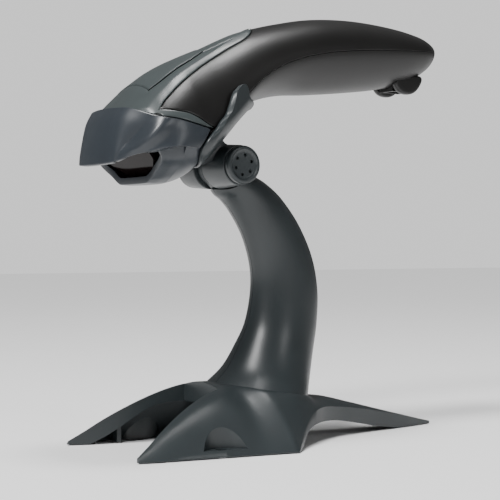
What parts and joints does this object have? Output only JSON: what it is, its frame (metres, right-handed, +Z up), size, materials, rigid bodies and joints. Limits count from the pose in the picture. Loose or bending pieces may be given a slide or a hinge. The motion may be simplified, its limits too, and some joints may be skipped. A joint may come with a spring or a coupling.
{
  "type": "handheld barcode scanner",
  "caption": "Handheld barcode scanner with a hooded nose and large top button, resting in the tilting cup of a curved hands-free stand on a toed base.",
  "frame": {"origin": "on the counter, under the middle of the whole object's bounding box", "axes": "+Z up, -Y the way the scanner's nose points, the width runs along X"},
  "size_m": [0.081, 0.17, 0.177],
  "materials": {
    "slate_plastic": "dark slate ABS, fine satin texture",
    "black_plastic": "near-black ABS, fine satin texture",
    "visor_plastic": "blue-grey ABS, satin",
    "trim_plastic": "light greenish-grey ABS, satin",
    "window_glass": "very dark red acrylic, polished",
    "lens_plastic": "clear epoxy lens",
    "rubber": "matt",
    "steel": "zinc plated",
    "circuit_board": "green solder mask",
    "chip": "moulded epoxy",
    "brass": "machined",
    "mirror": "front-silvered"
  },
  "bodies": {
    "stand": {"base_shell": "slate_plastic", "ballast_plate": "steel", "ballast_screw_left": "steel", "ballast_screw_right": "steel", "ballast_screw_rear": "steel", "arm_screw_left": "steel", "arm_screw_right": "steel", "foot_pad_toe_left": "rubber", "foot_pad_toe_right": "rubber", "foot_pad_side_left": "rubber", "foot_pad_side_right": "rubber", "foot_pad_tail": "rubber", "arm_left_shell": "slate_plastic", "arm_right_shell": "slate_plastic"},
    "cup": {"cup": "slate_plastic", "pivot_bolt": "steel", "pivot_nut": "steel", "friction_washer_left": "brass", "friction_washer_right": "brass", "pivot_disc": "slate_plastic", "pivot_dome": "slate_plastic"},
    "scanner": {"upper_housing": "black_plastic", "lower_housing": "black_plastic", "nose_bezel": "visor_plastic", "window_frame": "visor_plastic", "scan_window": "window_glass", "top_trim": "trim_plastic", "main_board": "circuit_board", "board_screw_front": "steel", "board_screw_rear": "steel", "processor_chip": "chip", "memory_chip": "chip", "beeper": "chip", "cable_socket": "black_plastic", "engine_frame": "chip", "laser_module": "brass", "mirror_pin": "steel", "mirror_coil": "brass", "collecting_mirror": "mirror", "light_detector": "chip", "button_board": "circuit_board", "button_switch": "chip", "status_led": "lens_plastic"},
    "button": {"trigger_button": "trim_plastic"},
    "mirror": {"scan_mirror": "mirror"}
  },
  "joints": [
    {"name": "cup_tilt", "type": "hinge", "parent": "stand", "child": "cup", "pos_m": [0, -0.0279, 0.1122], "axis": [1, 0, 0], "range_deg": [-30, 40]},
    {"name": "scanner_lift", "type": "slide", "parent": "cup", "child": "scanner", "axis": [0, 0, 1], "range_m": [0, 0.06]},
    {"name": "button_press", "type": "slide", "parent": "scanner", "child": "button", "axis": [0, 0, -1], "range_m": [0, 0.001], "stiffness_N_per_m": 700, "springref_m": -0.0005},
    {"name": "mirror_swing", "type": "hinge", "parent": "scanner", "child": "mirror", "pos_m": [-0.005, -0.0548, 0.12405], "axis": [0, 0, 1], "range_deg": [-8, 8], "stiffness_Nm_per_rad": 0.0004}
  ]
}
